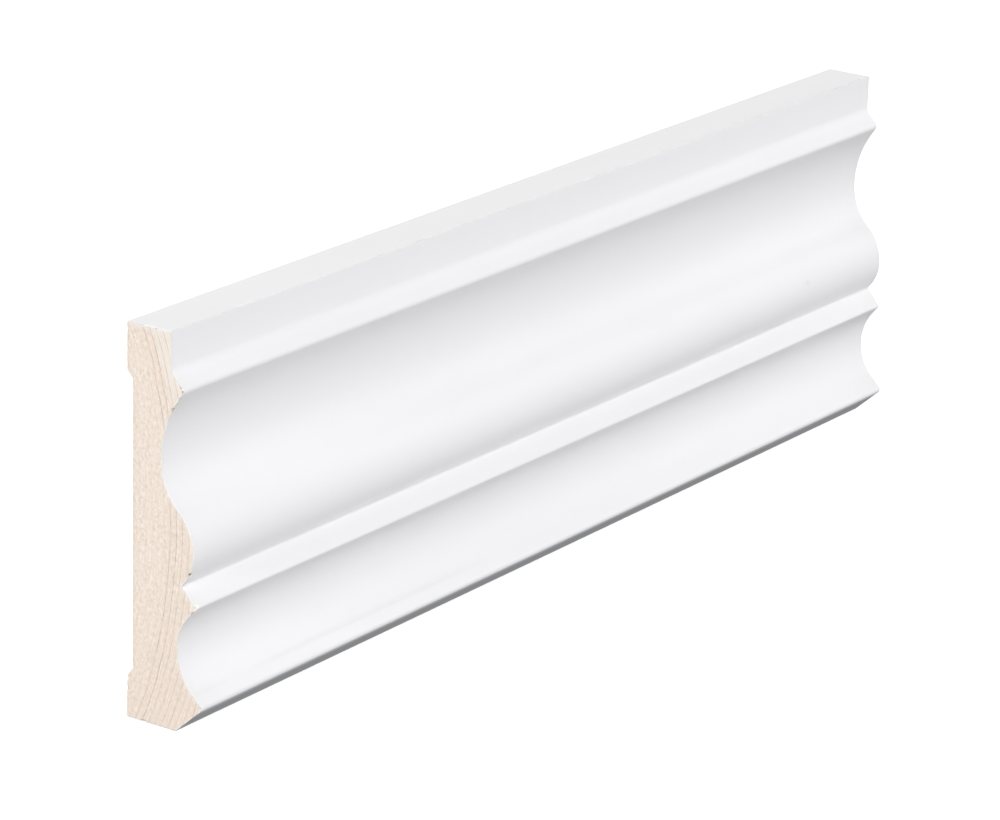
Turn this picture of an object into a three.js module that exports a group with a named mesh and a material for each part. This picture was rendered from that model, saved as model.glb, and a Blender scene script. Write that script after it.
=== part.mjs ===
// A sample length of door casing: one solid pine moulding, planed to its profile in one pass,
// primed white on the face and both edges, and bare on the sawn ends and the hollowed back.
// Millimetres, +Z up. +X runs along the length, the moulded face looks to -Y and the back to +Y.
// The casing stands on its thick edge, and the origin is in the middle of that edge's floor.

import * as THREE from 'three';

// Overall sizes
const LENGTH = 279.4; // 11 in, both ends sawn square
const WIDTH = 88.9; // 3 1/2 in, from the thick edge up to the thin edge
const THICKNESS = 20.2; // at the lower nose, the thickest place

// The moulded face: "out" is measured from the wall, "up" from the thick edge
const THIN_EDGE = 11.9; // thickness at the thin edge
const THIN_EDGE_EASE = 0.2; // radius of the thin edge's front corner
const FILLET_HEIGHT = 8.9; // flat band below the thin edge
const UPPER_NOSE = { out: 14.9, up: 76.25, radius: 1.1 };
const UPPER_FLANK = 33; // degrees that the short straight flank below the upper nose leans
const UPPER_COVE_DEEPEST = { out: 9.3, up: 60.1 };
const BULGE_CROWN = { out: 18.0, up: 40.5 };
const OGEE_SPLIT = 0.54; // share of the way from cove to crown where the curve turns over
const QUIRK = { out: 14.8, up: 33.3 }; // sharp groove under the bulge
const MIDDLE_NOSE = { out: 18.5, up: 29.05, radius: 0.6 };
const MIDDLE_FLANK = 39; // lean of the flank below the middle nose
const LOWER_COVE_DEEPEST = { out: 13.8, up: 18.5 };
const LOWER_FLANK = -46; // lean of the flank above the lower nose, which it meets from the other side
const LOWER_NOSE = { out: THICKNESS, up: 6.7, radius: 1.0 };
const HEEL = 13.3; // thickness of the thick edge's flat, where the chamfer meets it

// The back: two flat lands that bear on wall and jamb, with a shallow hollow between them
const RELIEF_DEPTH = 1.55;
const UPPER_LAND = 10.7;
const UPPER_SHOULDER = 1.65; // height of the slope from the land into the hollow
const LOWER_LAND = 9.4;
const LOWER_SHOULDER = 2.1;

const ARC_STEPS = 14; // straight facets to each arc of the outline
const PRIMER_WHITE = 0xeeeef1;

const spot = ({ out, up }) => new THREE.Vector2(out, up);

// A rounded nose is a circle whose outermost point lies at the given distance from the wall.
const noseCircle = ({ out, up, radius }) => ({ centre: new THREE.Vector2(out - radius, up), radius });

// Circle that stands upright at its crest and passes through the given end point.
function circleThrough(crest, end) {
  const reach = end.x - crest.x;
  const radius = end.distanceToSquared(crest) / (2 * Math.abs(reach));
  return { centre: new THREE.Vector2(crest.x + Math.sign(reach) * radius, crest.y), radius };
}

// Cove that stands upright at its deepest point and ends in a short straight flank, which leans out
// to a nose by the given angle. The flank leaves the cove at its foot and touches the nose at its head.
function coveBeside(deepest, nose, degrees) {
  const lean = THREE.MathUtils.degToRad(degrees);
  const facing = new THREE.Vector2(Math.cos(lean), -Math.sin(lean));
  const head = facing.clone().multiplyScalar(nose.radius).add(nose.centre);
  const radius = deepest.clone().sub(head).dot(facing) / (1 - Math.cos(lean));
  const centre = new THREE.Vector2(deepest.x + radius, deepest.y);
  const foot = facing.clone().multiplyScalar(-radius).add(centre);
  return { centre, radius, foot, head };
}

// Point where a straight bevel from the given corner meets a nose; side +1 turns to the left.
function tangentPoint(corner, nose, side) {
  const away = corner.clone().sub(nose.centre);
  const turn = side * Math.acos(nose.radius / away.length());
  return away.setLength(nose.radius).rotateAround(new THREE.Vector2(), turn).add(nose.centre);
}

// Points of the shorter arc of a circle from one of its points to another, both included.
function arc(circle, from, to) {
  const start = from.clone().sub(circle.centre).angle();
  const end = to.clone().sub(circle.centre).angle();
  const turn = THREE.MathUtils.euclideanModulo(end - start + Math.PI, 2 * Math.PI) - Math.PI;
  return Array.from({ length: ARC_STEPS + 1 }, (_, step) => {
    const angle = start + (turn * step) / ARC_STEPS;
    const arm = new THREE.Vector2(Math.cos(angle), Math.sin(angle));
    return arm.multiplyScalar(circle.radius).add(circle.centre);
  });
}

// The thick edge's chamfer, the lower nose and the lower cove up to the middle nose.
function lowerMoulding() {
  const heel = new THREE.Vector2(HEEL, 0);
  const lowerNose = noseCircle(LOWER_NOSE);
  const middleNose = noseCircle(MIDDLE_NOSE);
  const deepest = spot(LOWER_COVE_DEEPEST);
  const coveFoot = coveBeside(deepest, lowerNose, LOWER_FLANK);
  const coveHead = coveBeside(deepest, middleNose, MIDDLE_FLANK);
  const quirk = spot(QUIRK);
  return [
    heel,
    ...arc(lowerNose, tangentPoint(heel, lowerNose, 1), coveFoot.head),
    ...arc(coveFoot, coveFoot.foot, deepest),
    ...arc(coveHead, deepest, coveHead.foot),
    ...arc(middleNose, coveHead.head, tangentPoint(quirk, middleNose, -1)),
    quirk,
  ];
}

// The bulge above the quirk, the long cove it runs into, the upper nose and the flat fillet.
function upperMoulding() {
  const quirk = spot(QUIRK);
  const crown = spot(BULGE_CROWN);
  const deepest = spot(UPPER_COVE_DEEPEST);
  const turnOver = deepest.clone().lerp(crown, OGEE_SPLIT);
  const bulgeFoot = circleThrough(crown, quirk);
  const bulgeHead = circleThrough(crown, turnOver);
  const upperNose = noseCircle(UPPER_NOSE);
  const coveFoot = circleThrough(deepest, turnOver);
  const coveHead = coveBeside(deepest, upperNose, UPPER_FLANK);
  const filletFoot = new THREE.Vector2(THIN_EDGE, WIDTH - FILLET_HEIGHT);
  const ease = noseCircle({ out: THIN_EDGE, up: WIDTH - THIN_EDGE_EASE, radius: THIN_EDGE_EASE });
  return [
    ...arc(bulgeFoot, quirk, crown),
    ...arc(bulgeHead, crown, turnOver),
    ...arc(coveFoot, turnOver, deepest),
    ...arc(coveHead, deepest, coveHead.foot),
    ...arc(upperNose, coveHead.head, tangentPoint(filletFoot, upperNose, -1)),
    filletFoot,
    ...arc(
      ease,
      new THREE.Vector2(THIN_EDGE, WIDTH - THIN_EDGE_EASE),
      new THREE.Vector2(THIN_EDGE - THIN_EDGE_EASE, WIDTH),
    ),
  ];
}

// The back from the thin edge down: land, sloped shoulder, hollow, sloped shoulder, land.
function backOutline() {
  return [
    new THREE.Vector2(0, WIDTH),
    new THREE.Vector2(0, WIDTH - UPPER_LAND),
    new THREE.Vector2(RELIEF_DEPTH, WIDTH - UPPER_LAND - UPPER_SHOULDER),
    new THREE.Vector2(RELIEF_DEPTH, LOWER_LAND + LOWER_SHOULDER),
    new THREE.Vector2(0, LOWER_LAND),
    new THREE.Vector2(0, 0),
  ];
}

function casingOutline() {
  const smallestStep = 1e-4;
  const points = [...lowerMoulding(), ...upperMoulding(), ...backOutline()];
  const distinct = points.filter(
    (point, index) => index === 0 || point.distanceTo(points[index - 1]) > smallestStep,
  );
  return new THREE.Shape(distinct);
}

function makeCasing() {
  const geometry = new THREE.ExtrudeGeometry(casingOutline(), { depth: LENGTH, bevelEnabled: false });
  const primer = new THREE.MeshStandardMaterial({ color: PRIMER_WHITE, roughness: 0.55, metalness: 0 });
  const mesh = new THREE.Mesh(geometry, primer);
  mesh.name = 'casing';
  // The outline's "out" turns to -Y and its "up" to +Z, so the length runs towards -X.
  mesh.rotation.set(Math.PI / 2, -Math.PI / 2, 0);
  mesh.position.set(LENGTH / 2, THICKNESS / 2, 0);
  return mesh;
}

const doorCasing = new THREE.Group();
doorCasing.add(makeCasing());

export default doorCasing;
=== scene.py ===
import math

import bmesh
import bpy
import numpy as np
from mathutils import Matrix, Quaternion, Vector


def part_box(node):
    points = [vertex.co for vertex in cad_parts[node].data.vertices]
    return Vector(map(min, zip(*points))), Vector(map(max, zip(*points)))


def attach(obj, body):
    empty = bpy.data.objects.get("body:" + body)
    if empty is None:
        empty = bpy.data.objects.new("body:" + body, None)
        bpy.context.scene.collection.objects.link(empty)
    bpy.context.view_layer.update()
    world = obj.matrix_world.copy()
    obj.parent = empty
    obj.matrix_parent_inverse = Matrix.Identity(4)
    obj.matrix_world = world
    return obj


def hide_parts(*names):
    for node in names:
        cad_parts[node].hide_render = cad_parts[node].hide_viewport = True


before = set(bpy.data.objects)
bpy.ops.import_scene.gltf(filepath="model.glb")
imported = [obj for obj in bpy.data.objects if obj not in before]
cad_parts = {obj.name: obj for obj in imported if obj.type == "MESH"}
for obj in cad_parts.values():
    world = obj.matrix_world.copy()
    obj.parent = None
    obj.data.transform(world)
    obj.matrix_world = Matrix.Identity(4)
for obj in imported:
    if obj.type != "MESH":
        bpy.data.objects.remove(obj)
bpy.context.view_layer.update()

# The casing is one length of pine. A moulder's knives cut its face, both edges and its hollowed
# back in one pass, and a saw cuts it square at both ends. It stands on its thick edge.
# Sizes of the section are in millimetres: "out" from the wall, "up" from the thick edge.
MM = 0.001
box_low, box_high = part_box("casing")
width = (box_high.z - box_low.z) / MM
thickness = (box_high.y - box_low.y) / MM
length = (box_high.x - box_low.x) / MM

point_spacing = 0.34
thin_edge = 11.9
fillet_height = 8.9
fillet_foot_radius = 2.5
thin_edge_ease = 0.1
back_arris_ease = 0.3
heel = 13.3
heel_ease = 0.4
quirk_radius = 0.8
upper_nose_radius, middle_nose_radius, lower_nose_radius = 1.1, 0.6, 1.0
upper_nose = np.array([14.9 - upper_nose_radius, 76.25])
middle_nose = np.array([18.5 - middle_nose_radius, 29.05])
lower_nose = np.array([thickness - lower_nose_radius, 6.7])
upper_flank, middle_flank, lower_flank = 33, 39, -46  # degrees that each straight flank leans
upper_cove_deepest = np.array([9.3, 60.1])
lower_cove_deepest = np.array([13.8, 18.5])
bulge_crown = np.array([18.0, 40.5])
ogee_split = 0.54  # share of the way from cove to crown where the curve turns over
quirk = np.array([14.8, 33.3])
relief_depth = 1.55
upper_land, upper_shoulder = 10.7, 1.65
lower_land, lower_shoulder = 9.4, 2.1


def unit(vector):
    """The vector divided by its own length."""
    return vector / np.linalg.norm(vector)


def line(start, end):
    """Evenly spaced points from start to end, both left out."""
    count = math.ceil(np.hypot(*(end - start)) / point_spacing)
    share = np.linspace(0, 1, count + 1)[1:-1, None]
    return start + (end - start) * share


def arc(centre, start, end):
    """Points of the circle about centre, from start round to end the shorter way, evenly turned."""
    fewest_steps = 6
    first = math.atan2(*(start - centre)[::-1])
    last = math.atan2(*(end - centre)[::-1])
    turn = (last - first + math.pi) % (2 * math.pi) - math.pi
    radius = np.hypot(*(start - centre))
    count = max(fewest_steps, math.ceil(radius * abs(turn) / point_spacing)) + 1
    angle = first + turn * np.linspace(0, 1, count)
    return centre + radius * np.column_stack([np.cos(angle), np.sin(angle)])


def eased(before, corner, after, radius):
    """Arc that touches both straight sides of a corner, set back along each by the radius divided
    by the tangent of half the corner's angle."""
    back_side, on_side = unit(before - corner), unit(after - corner)
    half = math.acos(back_side @ on_side) / 2
    centre = corner + unit(back_side + on_side) * radius / math.sin(half)
    set_back = radius / math.tan(half)
    return arc(centre, corner + back_side * set_back, corner + on_side * set_back)


def upright_centre(crest, end):
    """Centre of the circle that stands upright at its crest and passes through end: the square of
    their distance divided by twice the reach is its radius."""
    reach = end[0] - crest[0]
    radius = ((end - crest) ** 2).sum() / (2 * abs(reach))
    return crest + np.array([math.copysign(radius, reach), 0])


def flanked_cove(deepest, nose, nose_radius, degrees):
    """Centre of a cove that is upright at its deepest point, then the foot and the head of its
    straight flank, which leans out by that angle from the cove's circle to touch a nose."""
    lean = math.radians(degrees)
    facing = np.array([math.cos(lean), -math.sin(lean)])
    head = nose + nose_radius * facing
    radius = (deepest - head) @ facing / (1 - facing[0])
    centre = deepest + np.array([radius, 0])
    return centre, centre - radius * facing, head


def tangent_point(corner, nose, nose_radius, side):
    """Point where the straight bevel from a corner touches a nose, to the left for side +1."""
    away = corner - nose
    turn = math.atan2(away[1], away[0]) + side * math.acos(nose_radius / np.hypot(*away))
    return nose + nose_radius * np.array([math.cos(turn), math.sin(turn)])


def face_outline():
    """The moulded face from the thick edge up to the thin one: noses, coves and the ogee bulge are
    arcs that run into each other, and straight bevels join them through eased corners. Up never
    falls."""
    heel_corner = np.array([heel, 0.0])
    fillet_foot = np.array([thin_edge, width - fillet_height])
    thin_corner = np.array([thin_edge, width])
    chamfer_top = tangent_point(heel_corner, lower_nose, lower_nose_radius, 1)
    lower_foot, lower_bend, lower_touch = flanked_cove(
        lower_cove_deepest, lower_nose, lower_nose_radius, lower_flank)
    lower_head, middle_bend, middle_touch = flanked_cove(
        lower_cove_deepest, middle_nose, middle_nose_radius, middle_flank)
    step_out = tangent_point(quirk, middle_nose, middle_nose_radius, -1)
    turn_over = upper_cove_deepest + (bulge_crown - upper_cove_deepest) * ogee_split
    bulge_foot = upright_centre(bulge_crown, quirk)
    bulge_head = upright_centre(bulge_crown, turn_over)
    cove_foot = upright_centre(upper_cove_deepest, turn_over)
    cove_head, upper_bend, upper_touch = flanked_cove(
        upper_cove_deepest, upper_nose, upper_nose_radius, upper_flank)
    upper_step = tangent_point(fillet_foot, upper_nose, upper_nose_radius, -1)
    out_of_quirk = np.array([-1, 1]) * (quirk - bulge_foot)[::-1]
    heel_arc = eased(np.zeros(2), heel_corner, chamfer_top, heel_ease)
    quirk_arc = eased(step_out, quirk, quirk + out_of_quirk, quirk_radius)
    foot_arc = eased(upper_step, fillet_foot, thin_corner, fillet_foot_radius)
    thin_arc = eased(fillet_foot, thin_corner, np.array([0.0, width]), thin_edge_ease)
    bulge_radius = np.hypot(*(quirk - bulge_foot))
    bulge_start = bulge_foot + unit(quirk_arc[-1] - bulge_foot) * bulge_radius
    return np.concatenate([
        heel_arc,
        line(heel_arc[-1], chamfer_top),
        arc(lower_nose, chamfer_top, lower_touch),
        line(lower_touch, lower_bend),
        arc(lower_foot, lower_bend, lower_cove_deepest),
        arc(lower_head, lower_cove_deepest, middle_bend)[1:],
        line(middle_bend, middle_touch),
        arc(middle_nose, middle_touch, step_out),
        line(step_out, quirk_arc[0]),
        quirk_arc,
        arc(bulge_foot, bulge_start, bulge_crown)[1:],
        arc(bulge_head, bulge_crown, turn_over)[1:],
        arc(cove_foot, turn_over, upper_cove_deepest)[1:],
        arc(cove_head, upper_cove_deepest, upper_bend)[1:],
        line(upper_bend, upper_touch),
        arc(upper_nose, upper_touch, upper_step),
        line(upper_step, foot_arc[0]),
        foot_arc,
        line(foot_arc[-1], thin_arc[0]),
        thin_arc,
    ])


def back_outline(up):
    """The back at the given heights: lands at nought, straight shoulders down into the hollow, and
    a quarter round of the arris's radius at both edges."""
    hollow_top = width - upper_land - upper_shoulder
    heights = [0, lower_land, lower_land + lower_shoulder, hollow_top, width - upper_land]
    out = np.interp(up, heights, [0, 0, relief_depth, relief_depth, 0])
    short_of_edge = np.clip(back_arris_ease - np.minimum(up, width - up), 0, back_arris_ease)
    return out + back_arris_ease - np.sqrt(back_arris_ease**2 - short_of_edge**2)


def outline_normals(points):
    """Unit normals of an open outline, the tangent turned a quarter to the right."""
    tangent = np.gradient(points, axis=0)
    normal = np.column_stack([tangent[:, 1], -tangent[:, 0]])
    return normal / np.linalg.norm(normal, axis=1, keepdims=True)


def stations():
    """Distances along the length: steps that grow by a fifth away from either saw cut, then even
    ones between the two fine zones."""
    first_step, growth, fine_zone, coarse_count = 0.04, 1.2, 8.0, 24
    count = int(math.log(fine_zone * (growth - 1) / first_step + 1) / math.log(growth))
    fine = first_step * (growth ** np.arange(count) - 1) / (growth - 1)
    coarse = np.linspace(fine[-1], length - fine[-1], coarse_count)[1:-1]
    return np.concatenate([fine, coarse, (length - fine)[::-1]])


def uneven(points, pitch, seed):
    """Sum of sine waves of about that pitch in random directions, over the root of their number."""
    wave_count = 9
    chance = np.random.default_rng(seed)
    waves = chance.normal(size=(points.shape[-1], wave_count)) * 2 * math.pi / pitch
    starts = chance.uniform(0, 2 * math.pi, wave_count)
    return np.sin(points @ waves + starts).sum(-1) / math.sqrt(wave_count)


# A nick in one knife leaves a fine raised line along the lower cove. It comes and goes: the marks
# are distances from the near end, and the shares are how much of the line's height stands there.
knife_line_up, knife_line_half, knife_line_height = 9.35, 0.3, 0.03
knife_line_marks = [0, 2, 8, 12, 20, 26, 90, 108]
knife_line_shares = [0, 0.6, 0.6, 0, 0, 1, 1, 0]
face = face_outline()
reach = np.concatenate([[0], np.cumsum(np.hypot(*np.diff(face, axis=0).T))])
knife_line = np.interp(knife_line_up, face[:, 1], reach)
across_line = knife_line + knife_line_half * np.linspace(-1, 1, 5)
finer_reach = np.sort(np.concatenate([reach, across_line]))
face = np.column_stack([np.interp(finer_reach, reach, face[:, side]) for side in (0, 1)])
back = np.column_stack([back_outline(face[:, 1]), face[:, 1]])
face_normal = outline_normals(face)
back_normal = -outline_normals(back)
face_normal[[0, -1]] = back_normal[[0, -1]] = [[0, -1], [0, 1]]
along = stations()
ridge = np.interp(along, knife_line_marks, knife_line_shares)
hump = np.clip(1 - np.abs(finer_reach - knife_line) / knife_line_half, 0, 1)
knife_relief = knife_line_height * ridge[:, None] * hump[None]

# The saw crushes each end's rim unevenly: the outline draws in by a quarter round of changing size.
rim_ease, rim_ease_play, rim_ease_pitch = 0.1, 0.05, 2.5
least_rim_ease, most_rim_ease = 0.03, 0.25
far_rim_shift = 40.0  # keeps the far rim's unevenness apart from the near one's
across_steps = 24
depth_share = 0.5 - 0.5 * np.cos(np.linspace(0, math.pi, across_steps))
from_cut = np.minimum(along, length - along)[:, None]


def skin(outline, normal, relief, seed):
    """An outline carried along the length, raised by its relief, and drawn in along its normals at
    the saw cuts by the ease less the height of its quarter round there."""
    grid_shape = (len(along), len(outline))
    shift = np.where(along < length / 2, 0.0, far_rim_shift)[:, None, None]
    round_rim = np.broadcast_to(outline, (*grid_shape, 2))
    places = np.concatenate([round_rim, np.broadcast_to(shift, (*grid_shape, 1))], -1)
    play = rim_ease_play * uneven(places, rim_ease_pitch, seed)
    ease = np.clip(rim_ease + play, least_rim_ease, most_rim_ease)
    draw_in = ease - np.sqrt(ease**2 - np.clip(ease - from_cut, 0, ease) ** 2)
    drawn = outline[None] + (relief - draw_in)[..., None] * normal[None]
    return np.concatenate([np.broadcast_to(along[:, None, None], (*grid_shape, 1)), drawn], -1)


def between(first, last):
    """Straight surface between two edges of equal count: share by share from first to last."""
    return first[:, None] + (last - first)[:, None] * depth_share[None, :, None]


face_skin = skin(face, face_normal, knife_relief, 1)
back_skin = skin(back, back_normal, np.zeros((1, 1)), 2)
PRIMED, SAWN, PLANED = range(3)
surfaces = [
    (face_skin, PRIMED),
    (back_skin, PLANED),
    (between(back_skin[:, 0], face_skin[:, 0]), PRIMED),
    (between(back_skin[:, -1], face_skin[:, -1]), PRIMED),
    (between(back_skin[0], face_skin[0]), SAWN),
    (between(back_skin[-1], face_skin[-1]), SAWN),
]


def quads(rows, columns, first):
    """Vertex numbers of the four-sided faces of a grid whose vertices are numbered row by row."""
    corner = first + np.arange(rows - 1)[:, None] * columns + np.arange(columns - 1)[None]
    around = [corner, corner + 1, corner + columns + 1, corner + columns]
    return np.stack(around, -1).reshape(-1, 4)


counts = [grid.shape[0] * grid.shape[1] for grid, finish in surfaces]
firsts = np.concatenate([[0], np.cumsum(counts)[:-1]])
spots = np.concatenate([grid.reshape(-1, 3) for grid, finish in surfaces])
faces = [quads(*grid.shape[:2], first) for (grid, finish), first in zip(surfaces, firsts)]
finishes = np.concatenate([
    np.full(len(part), finish) for part, (grid, finish) in zip(faces, surfaces)])

# Four masks go with the vertices: "bare" where wood shows through the primer, "shade" for painted
# shade in the hollows of breaks and along the saw cuts' rims beside the back and the thick edge,
# "haze" where sprayed primer dusts bare wood beside a painted edge, and one that greys the thick
# edge's chamfer as painted shade and darkens a little along the knife line.
saw_line, saw_line_play = 0.14, 0.06
back_line, back_line_play, back_line_wood = 0.5, 0.15, 0.7
underside_shade, underside_reach = 0.22, 0.25
chamfer_middle, chamfer_reach, chamfer_fade = 2.7, 3.52, 2.2
knife_line_darkening, knife_line_fade = 0.1, 0.65
spray_on_back, spray_on_end, spray_at_thin_edge = 1.2, 0.25, 0.5
thin_edge_band, spray_play = 2.0, 0.3
cut_depth = 0.01
rough_pitch, rough_limit = 1.8, 1.5
spot_out, spot_up = spots[:, 1], spots[:, 2]
from_saw = np.minimum(spots[:, 0], length - spots[:, 0])
face_there = np.interp(spot_up, face[:, 1], face[:, 0])
lean_there = np.interp(spot_up, face[:, 1], np.abs(face_normal[:, 0]))
to_edges = np.minimum(spot_up, width - spot_up)
to_paint = np.minimum((face_there - spot_out) * lean_there, to_edges)
rough = np.clip(uneven(spots, rough_pitch, 3), -rough_limit, rough_limit)
bare_at_saw = np.clip(1 - from_saw / (saw_line + saw_line_play * rough), 0, 1)
bare_at_back = np.clip(1 - spot_out / (back_line + back_line_play * rough), 0, 1)
below_thin_edge = spot_up < width - thin_edge_ease
bare = np.maximum(bare_at_saw * below_thin_edge, back_line_wood * bare_at_back)
# Painted shade along the rims of the saw cuts beside the back and the thick edge.
to_back = spot_out - back_outline(np.clip(spot_up, 0, width))
to_underside = np.clip(np.minimum(to_back, spot_up), 0, None)
shade = underside_shade * np.exp(-(to_underside + from_saw) / underside_reach)
# The chamfer is greyed as painted shade, and the knife line is drawn a little darker.
off_chamfer = np.abs(spot_up - chamfer_middle)
chamfer_shade_and_line = np.clip((chamfer_reach - off_chamfer) / chamfer_fade, 0, 1) * (spot_out > heel)
off_line = np.abs(spot_up - knife_line_up)
line_darkening = knife_line_darkening * np.clip(1 - off_line / knife_line_fade, 0, 1)
chamfer_shade_and_line = np.maximum(chamfer_shade_and_line, line_darkening * np.interp(spots[:, 0], along, ridge))
spray_there = np.where(spot_up > width - thin_edge_band, spray_at_thin_edge, spray_on_end)
spray_reach = np.where(from_saw < cut_depth, spray_there, spray_on_back)
haze = np.exp(-np.clip(to_paint, 0, None) / (spray_reach * (1 + spray_play * rough)))

# Chips at the near end, where the saw left the cut: out, up, size, depth, how much painted shade
# falls in its hollow and how much wood it shows. The one on the middle nose broke off before the
# primer went on, so it is half white.
chip_raggedness = 0.25
near_chips = [
    (14.3, 77.2, 0.50, 0.30, 0.30, 1.0), (14.9, 76.3, 0.50, 0.40, 0.60, 1.0),
    (13.8, 74.7, 0.50, 0.05, 0.00, 1.0), (13.1, 73.2, 0.55, 0.05, 0.00, 1.0),
    (12.3, 71.7, 0.65, 0.35, 0.45, 1.0), (17.1, 36.2, 0.65, 0.60, 1.00, 1.0),
    (18.4, 29.2, 1.10, 0.60, 0.14, 0.5), (17.6, 27.9, 0.80, 0.15, 0.10, 1.0),
    (4.8, 0.0, 0.60, 0.40, 0.80, 1.0), (0.0, 9.0, 0.80, 0.25, 0.30, 1.0),
    (0.0, 6.6, 0.60, 0.15, 0.20, 1.0), (20.1, 7.2, 0.45, 0.15, 0.10, 1.0),
]
rim_points = np.concatenate([face, back])
rim_normals = np.concatenate([face_normal, back_normal])
for out, up, size, depth, hollow_shade, wood_shown in near_chips:
    out_and_up = rim_normals[np.hypot(*(rim_points - [out, up]).T).argmin()]
    inward = unit(np.array([1.0, -out_and_up[0], -out_and_up[1]]))
    ragged_size = size * (1 + chip_raggedness * rough)
    gap = np.linalg.norm(spots - [0, out, up], axis=1) / ragged_size
    share = np.clip(1 - gap**2, 0, 1)
    broken = np.clip(2 * share, 0, 1)
    bare = np.maximum(bare * (1 - broken * (1 - wood_shown)), broken * wood_shown)
    # Painted shade in the chip's hollow.
    shade = np.maximum(shade, hollow_shade * share)
    spots = spots + depth * share[:, None] * inward

mesh = bpy.data.meshes.new("casing_length")
corner_spot = np.array([box_low.x, box_high.y, box_low.z])
mesh.from_pydata(corner_spot + spots * [MM, -MM, MM], [], np.concatenate(faces))
mesh.polygons.foreach_set("material_index", finishes.astype(np.int32))
for name, values in (("bare", bare), ("shade", shade), ("haze", haze), ("chamfer_shade_and_line", chamfer_shade_and_line)):
    layer = mesh.attributes.new(name, "FLOAT", "POINT")
    layer.data.foreach_set("value", values.astype(np.float32))
joined = bmesh.new()
joined.from_mesh(mesh)
bmesh.ops.remove_doubles(joined, verts=joined.verts, dist=0.001 * MM)
bmesh.ops.recalc_face_normals(joined, faces=joined.faces)
joined.to_mesh(mesh)
joined.free()
mesh.shade_smooth()
casing = bpy.data.objects.new("casing_length", mesh)
bpy.context.collection.objects.link(casing)
weighted = casing.modifiers.new("flat faces stay flat", "WEIGHTED_NORMAL")
weighted.keep_sharp = True


def add(tree, kind, inputs=None, **settings):
    """A node of that kind with its settings. An input given a socket is linked, others are set."""
    fresh = tree.nodes.new(kind)
    for name, value in settings.items():
        setattr(fresh, name, value)
    for name, value in (inputs or {}).items():
        if isinstance(value, bpy.types.NodeSocket):
            tree.links.new(value, fresh.inputs[name])
        else:
            fresh.inputs[name].default_value = value
    return fresh


def reckon(tree, operation, first, second=0.0):
    """Result of one arithmetic step on two values or sockets."""
    return add(tree, "ShaderNodeMath", {0: first, 1: second}, operation=operation).outputs[0]


def product(tree, first, second):
    """Two values or sockets multiplied."""
    return reckon(tree, "MULTIPLY", first, second)


def ranged(tree, value, low, high, to_low, to_high):
    """A value carried from one range to another, and held at its ends."""
    inputs = {"Value": value, 1: low, 2: high, 3: to_low, 4: to_high}
    return add(tree, "ShaderNodeMapRange", inputs).outputs[0]


def placed(tree, operation, first, second):
    """Result of one step on two places, axis by axis."""
    inputs = {0: first, 1: second}
    return add(tree, "ShaderNodeVectorMath", inputs, operation=operation).outputs[0]


def noise(tree, vector, scale, detail=2.0, roughness=0.5):
    """Soft random values about a half, at that many features to the metre."""
    inputs = {"Vector": vector, "Scale": scale, "Detail": detail, "Roughness": roughness}
    return add(tree, "ShaderNodeTexNoise", inputs).outputs["Fac"]


def blend(tree, share, first, second):
    """Two colours mixed by a share."""
    inputs = {"Factor": share, 6: first, 7: second}
    return add(tree, "ShaderNodeMix", inputs, data_type="RGBA").outputs[2]


def mask(tree, name):
    """One of the mesh's vertex masks."""
    return add(tree, "ShaderNodeAttribute", attribute_name=name).outputs["Fac"]


def object_place(tree):
    """The place on the piece, in its own frame."""
    return add(tree, "ShaderNodeTexCoord").outputs["Object"]


def raise_surface(tree, shader, height, strength, distance):
    """Bump from a height, linked to the shader's normal."""
    inputs = {"Height": height, "Strength": strength, "Distance": distance}
    bump = add(tree, "ShaderNodeBump", inputs)
    tree.links.new(bump.outputs[0], shader.inputs["Normal"])


def finish_material(name):
    """A new material with its own shader and output, ready for its nodes."""
    material = bpy.data.materials.new(name)
    material.use_nodes = True
    tree = material.node_tree
    return material, tree, tree.nodes["Principled BSDF"]


# The pine itself: growth rings about a pith that lay behind the back and leans away along the
# length, with a thin dark latewood line at the end of each year, finer lines between, and fibres
# along the stick. Two neighbouring rings are the strongest.
pith = (box_low.x, box_high.y + 107 * MM, box_low.z + 47 * MM)
pith_lean_out, pith_lean_up = 0.03, 0.012
ring_spacing = 1.65 * MM
strong_ring = 120.7 * MM
strong_pair_middle = strong_ring - ring_spacing / 2
fine_lines_a_year = 2.4
fibre_stretch = 0.03
speck_stretch, streak_stretch = (1, 0.62, 1), (1, 0.12, 1)
latewood_ramp = ((0.68, 0.04), (0.85, 0.25), (0.93, 1.0), (0.975, 0.85))

grain = bpy.data.node_groups.new("pine_grain", "ShaderNodeTree")
for socket in ("Latewood", "Speck", "Streak", "Tint", "Pale", "Young", "Low", "Height"):
    grain.interface.new_socket(name=socket, in_out="OUTPUT", socket_type="NodeSocketFloat")
from_pith = placed(grain, "SUBTRACT", object_place(grain), pith)
parts = add(grain, "ShaderNodeSeparateXYZ", {0: from_pith}).outputs
across = reckon(grain, "SUBTRACT", parts["Y"], product(grain, parts["X"], pith_lean_out))
rise = reckon(grain, "SUBTRACT", parts["Z"], product(grain, parts["X"], pith_lean_up))
across_squared = reckon(grain, "POWER", across, 2.0)
rise_squared = reckon(grain, "POWER", rise, 2.0)
radius = reckon(grain, "SQRT", reckon(grain, "ADD", across_squared, rise_squared))
bearing = reckon(grain, "ARCTAN2", rise, product(grain, across, -1.0))
round_pith = product(grain, bearing, strong_ring)
along_grain = product(grain, parts["X"], fibre_stretch)
ring_parts = {0: radius, 1: round_pith, 2: along_grain}
in_rings = add(grain, "ShaderNodeCombineXYZ", ring_parts).outputs[0]
speck_place = placed(grain, "MULTIPLY", in_rings, speck_stretch)
streak_place = placed(grain, "MULTIPLY", in_rings, streak_stretch)
speck = noise(grain, speck_place, 1500, 4, 0.65)
streak = noise(grain, streak_place, 1900, 3, 0.6)

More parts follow.
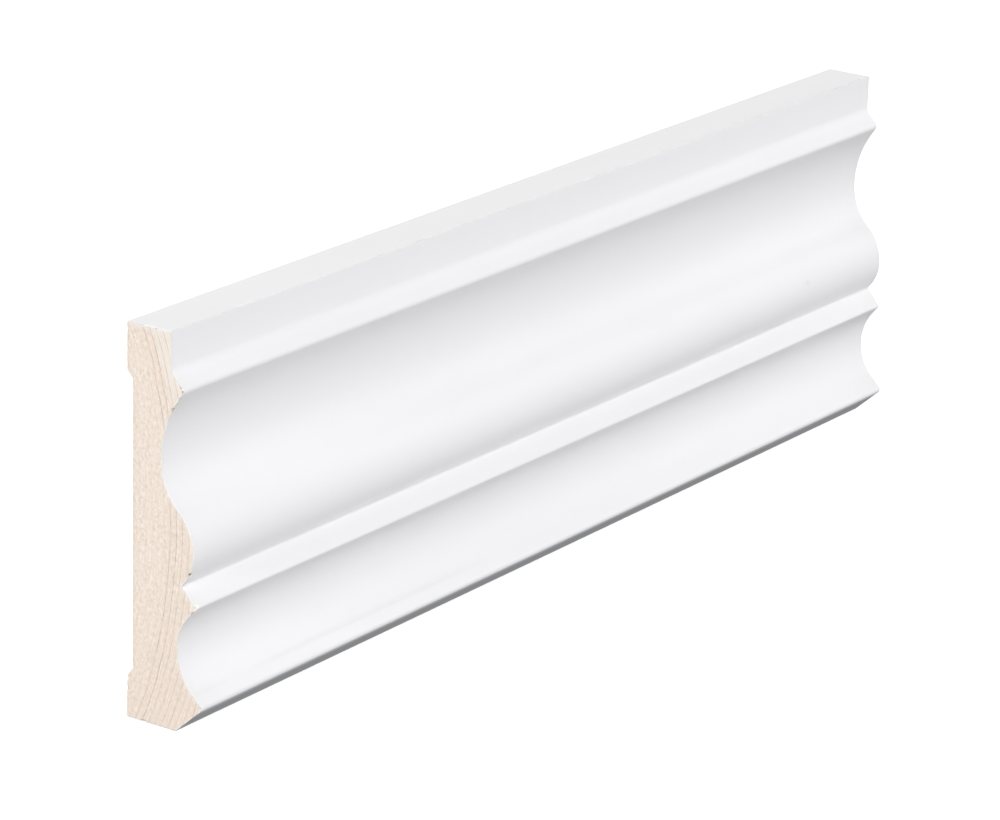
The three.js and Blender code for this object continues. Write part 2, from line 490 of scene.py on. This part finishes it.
broad_wander = ranged(grain, noise(grain, in_rings, 70), 0, 1, -0.6 * MM, 0.6 * MM)
fine_wander = ranged(grain, noise(grain, in_rings, 600), 0, 1, -0.12 * MM, 0.12 * MM)
wander = reckon(grain, "ADD", broad_wander, fine_wander)
past_strong = reckon(grain, "SUBTRACT", reckon(grain, "ADD", radius, wander), strong_ring)
grown = reckon(grain, "DIVIDE", past_strong, ring_spacing)
late = add(grain, "ShaderNodeValToRGB", {"Fac": reckon(grain, "FRACT", grown)})
late.color_ramp.elements[0].color = late.color_ramp.elements[1].color = (0, 0, 0, 1)
for position, level in latewood_ramp:
    late.color_ramp.elements.new(position).color = (level, level, level, 1)

year_number = {"W": reckon(grain, "FLOOR", grown)}
chance_of_year = add(grain, "ShaderNodeTexWhiteNoise", year_number, noise_dimensions="1D")
weight_of_year = ranged(grain, chance_of_year.outputs["Value"], 0, 1, 0.7, 1.0)
off_strong_pair = reckon(
    grain, "ABSOLUTE", reckon(grain, "SUBTRACT", radius, strong_pair_middle))
weight_of_pair = ranged(grain, off_strong_pair, 1.0 * MM, 2.0 * MM, 1.2, 0.75)
year = product(grain, weight_of_year, weight_of_pair)
line_share = product(grain, late.outputs["Color"], year)
line_share = product(grain, line_share, ranged(grain, streak, 0.35, 0.6, 0.3, 1.0))

fine_year = reckon(grain, "FRACT", product(grain, grown, fine_lines_a_year))
fine_line = ranged(grain, fine_year, 0.7, 0.95, 0.0, 0.35)
fine_line = product(grain, fine_line, ranged(grain, speck, 0.4, 0.6, 0.0, 1.0))
near_face = ranged(grain, radius, 116 * MM, 121 * MM, 0.2, 1.0)
fine_line = product(grain, fine_line, near_face)
latewood = reckon(grain, "MAXIMUM", line_share, fine_line)
outside_pair = ranged(grain, radius, 120.9 * MM, 121.4 * MM, 0, 1)
near_thin_edge = ranged(grain, rise, 24 * MM, 31 * MM, 0, 1)
add(grain, "NodeGroupOutput", {
    "Latewood": latewood,
    "Speck": speck,
    "Streak": streak,
    "Tint": noise(grain, speck_place, 420),
    "Pale": product(grain, outside_pair, near_thin_edge),
    "Young": ranged(grain, radius, 116.2 * MM, 118.8 * MM, 0.25, 1.0),
    "Low": ranged(grain, rise, -15 * MM, -35 * MM, 0, 1),
    "Height": reckon(grain, "SUBTRACT", speck, product(grain, latewood, 0.3)),
})

# Both ends are bare sawn end grain: pale, with cut fibres that show as fine specks and streaks.
# The wood outside the strong rings is paler towards the thin edge, and tanner at the foot.
fibre_shadow, fibre_light = (0.76, 0.64, 0.54, 1), (0.965, 0.905, 0.825, 1)
streak_tan, rosy_tint = (0.75, 0.61, 0.50, 1), (0.90, 0.77, 0.69, 1)
pale_wood, low_tan = (0.91, 0.875, 0.81, 1), (0.79, 0.65, 0.54, 1)
end_latewood = (0.53, 0.385, 0.28, 1)
# The near-black brown is painted shade, for the hollows of breaks and the rims beside the back and
# the thick edge.
primer_dust, painted_shade_brown = (0.87, 0.86, 0.85, 1), (0.07, 0.04, 0.02, 1)
sawn_pine, tree, shader = finish_material("sawn_end_grain")
wood = add(tree, "ShaderNodeGroup", node_tree=grain).outputs
colour = blend(tree, ranged(tree, wood["Speck"], 0.35, 0.65, 0, 1), fibre_shadow, fibre_light)
colour = blend(tree, ranged(tree, wood["Streak"], 0.35, 0.6, 0.35, 0), colour, streak_tan)
colour = blend(tree, ranged(tree, wood["Tint"], 0.35, 0.65, 0, 0.5), colour, rosy_tint)
colour = blend(tree, product(tree, wood["Pale"], 0.5), colour, pale_wood)
colour = blend(tree, product(tree, wood["Low"], 0.15), colour, low_tan)
colour = blend(tree, product(tree, wood["Latewood"], wood["Young"]), colour, end_latewood)
colour = blend(tree, product(tree, mask(tree, "haze"), 0.75), colour, primer_dust)
# Painted shade in the hollows of breaks and along the rims beside the back and the thick edge.
colour = blend(tree, mask(tree, "shade"), colour, painted_shade_brown)
tree.links.new(colour, shader.inputs["Base Color"])
raise_surface(tree, shader, wood["Height"], 0.5, 0.08 * MM)
shader.inputs["Roughness"].default_value = 0.85
shader.inputs["Specular IOR Level"].default_value = 0.25

# The back is bare planed pine, smoother than the ends, with the grain running along it and a haze
# of primer beside its edges.
planed_dark, planed_light = (0.70, 0.56, 0.41, 1), (0.80, 0.68, 0.53, 1)
back_latewood = (0.56, 0.38, 0.23, 1)
planed_pine, tree, shader = finish_material("planed_back")
wood = add(tree, "ShaderNodeGroup", node_tree=grain).outputs
colour = blend(tree, ranged(tree, wood["Streak"], 0.3, 0.7, 0, 1), planed_dark, planed_light)
colour = blend(tree, wood["Latewood"], colour, back_latewood)
colour = blend(tree, product(tree, mask(tree, "haze"), 0.8), colour, primer_dust)
# Painted shade in the hollows of breaks and along the rims beside the back and the thick edge.
colour = blend(tree, mask(tree, "shade"), colour, painted_shade_brown)
tree.links.new(colour, shader.inputs["Base Color"])
raise_surface(tree, shader, wood["Streak"], 0.3, 0.05 * MM)
shader.inputs["Roughness"].default_value = 0.6

# White primer, sprayed on the face and both edges in one thin satin coat. It follows the fine
# streaks of the planed wood below, breaks off in a ragged line at the saw cuts and thins out at the
# back arris. The chamfer is greyed as painted shade and the knife line is drawn a little darker.
# One grey nib of dust sits in it, on the bulge near the far end.
primer_low, primer_high = (0.864, 0.866, 0.864, 1), (0.88, 0.882, 0.88, 1)
# The first grey is painted shade on the thick edge's chamfer. It also darkens the knife line a
# little.
chamfer_shade_grey, nib_grey = (0.52, 0.535, 0.54, 1), (0.45, 0.44, 0.43, 1)
torn_dark, torn_light = (0.60, 0.49, 0.39, 1), (0.82, 0.72, 0.62, 1)
nib = (box_low.x + 244.5 * MM, box_high.y - 17.7 * MM, box_low.z + 43.3 * MM)
nib_stretch = (0.65, 1, 1)
streak_run = (0.02, 1, 1)
primer, tree, shader = finish_material("white_primer")
place = object_place(tree)
streaks = noise(tree, placed(tree, "MULTIPLY", place, streak_run), 800, 3)
peel = noise(tree, place, 650)
torn = noise(tree, place, 2600, 3)
colour = blend(tree, noise(tree, place, 35, 3), primer_low, primer_high)
# Painted shade on the chamfer, and a little darker along the knife line.
colour = blend(tree, mask(tree, "chamfer_shade_and_line"), colour, chamfer_shade_grey)
nib_oval = placed(tree, "MULTIPLY", placed(tree, "SUBTRACT", place, nib), nib_stretch)
to_nib = add(tree, "ShaderNodeVectorMath", {0: nib_oval}, operation="LENGTH").outputs["Value"]
colour = blend(tree, ranged(tree, to_nib, 0.1 * MM, 0.9 * MM, 0.16, 0), colour, nib_grey)
worn = reckon(tree, "ADD", mask(tree, "bare"), ranged(tree, torn, 0.3, 0.7, -0.3, 0.3))
torn_wood = blend(tree, torn, torn_dark, torn_light)
colour = blend(tree, ranged(tree, worn, 0.35, 0.7, 0, 1), colour, torn_wood)
# Painted shade in the hollows of breaks and along the rims beside the back and the thick edge.
colour = blend(tree, mask(tree, "shade"), colour, painted_shade_brown)
tree.links.new(colour, shader.inputs["Base Color"])
tree.links.new(ranged(tree, streaks, 0.3, 0.7, 0.46, 0.56), shader.inputs["Roughness"])
shader.inputs["Specular IOR Level"].default_value = 0.35
film = reckon(tree, "ADD", streaks, product(tree, peel, 0.5))
raise_surface(tree, shader, film, 0.6, 0.01 * MM)

for material in (primer, sawn_pine, planed_pine):
    mesh.materials.append(material)
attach(casing, "root")
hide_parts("casing")

# A plain pale floor with a soft glow of its own. Only the camera sees it, and the light passes
# through it, so that it neither throws light back up nor takes a shadow.
floor_half = 12.0
floor_corners = [(-1, -1), (1, -1), (1, 1), (-1, 1)]
floor_mesh = bpy.data.meshes.new("floor")
floor_mesh.from_pydata(
    [(x * floor_half, y * floor_half, 0) for x, y in floor_corners], [], [(0, 1, 2, 3)])
floor = bpy.data.objects.new("floor", floor_mesh)
bpy.context.collection.objects.link(floor)
floor.visible_diffuse = False
floor.visible_glossy = False
floor.visible_shadow = False
pale, tree, shader = finish_material("pale_floor")
shader.inputs["Base Color"].default_value = (0.35, 0.35, 0.35, 1)
shader.inputs["Roughness"].default_value = 1.0
shader.inputs["Specular IOR Level"].default_value = 0.0
shader.inputs["Emission Color"].default_value = (1, 1, 1, 1)
shader.inputs["Emission Strength"].default_value = 0.85
floor_mesh.materials.append(pale)

# Soft studio light: round boxes in front, behind and at both ends, a weak one overhead, and a
# faint sky that is a little brighter from below, as off a white table.
sky_below, sky_above, horizon_half = 0.15, 0.09, 0.2
world = bpy.data.worlds.new("studio")
world.use_nodes = True
bpy.context.scene.world = world
tree = world.node_tree
direction = add(tree, "ShaderNodeTexCoord").outputs["Generated"]
upward = add(tree, "ShaderNodeSeparateXYZ", {0: direction}).outputs["Z"]
sky = ranged(tree, upward, -horizon_half, horizon_half, sky_below, sky_above)
tree.links.new(sky, tree.nodes["Background"].inputs["Strength"])
tree.nodes["Background"].inputs["Color"].default_value = (1, 1, 1, 1)


def soft_box(name, azimuth, elevation, strength, tint=(1, 1, 1)):
    """A round area light at that bearing and height angle from the origin, which it faces."""
    distance, size = 4.0, 1.0
    across = math.cos(math.radians(elevation)) * distance
    spot = Vector((
        across * math.sin(math.radians(azimuth)),
        -across * math.cos(math.radians(azimuth)),
        math.sin(math.radians(elevation)) * distance,
    ))
    light = bpy.data.lights.new(name, "AREA")
    light.shape = "DISK"
    light.size = size
    light.energy = strength
    light.color = tint
    lamp = bpy.data.objects.new(name, light)
    lamp.location = spot
    lamp.rotation_euler = (-spot).to_track_quat("-Z", "Y").to_euler()
    bpy.context.collection.objects.link(lamp)


soft_box("front_box", 0, 18.5, 130, (0.985, 0.975, 1.0))
soft_box("back_box", 180, 33, 144)
soft_box("top_box", 0, 90, 6)
soft_box("near_end_box", -90, 12, 135)
soft_box("far_end_box", 90, 3, 132)

# The camera, at the photograph's own viewing angle and lens.
camera_data = bpy.data.cameras.new("camera")
camera_data.sensor_width = 36.0
camera_data.lens = 163.12
camera = bpy.data.objects.new("camera", camera_data)
camera.location = (-0.8316, -0.5671, 0.3744)
aim = Vector((-0.03251, -0.01027, 0.04584))
roll = math.radians(1.626)
turn = (aim - camera.location).to_track_quat("-Z", "Y")
camera.rotation_euler = (turn @ Quaternion((0, 0, 1), roll)).to_euler()
bpy.context.collection.objects.link(camera)
bpy.context.scene.camera = camera
bpy.context.scene.view_settings.view_transform = "Standard"
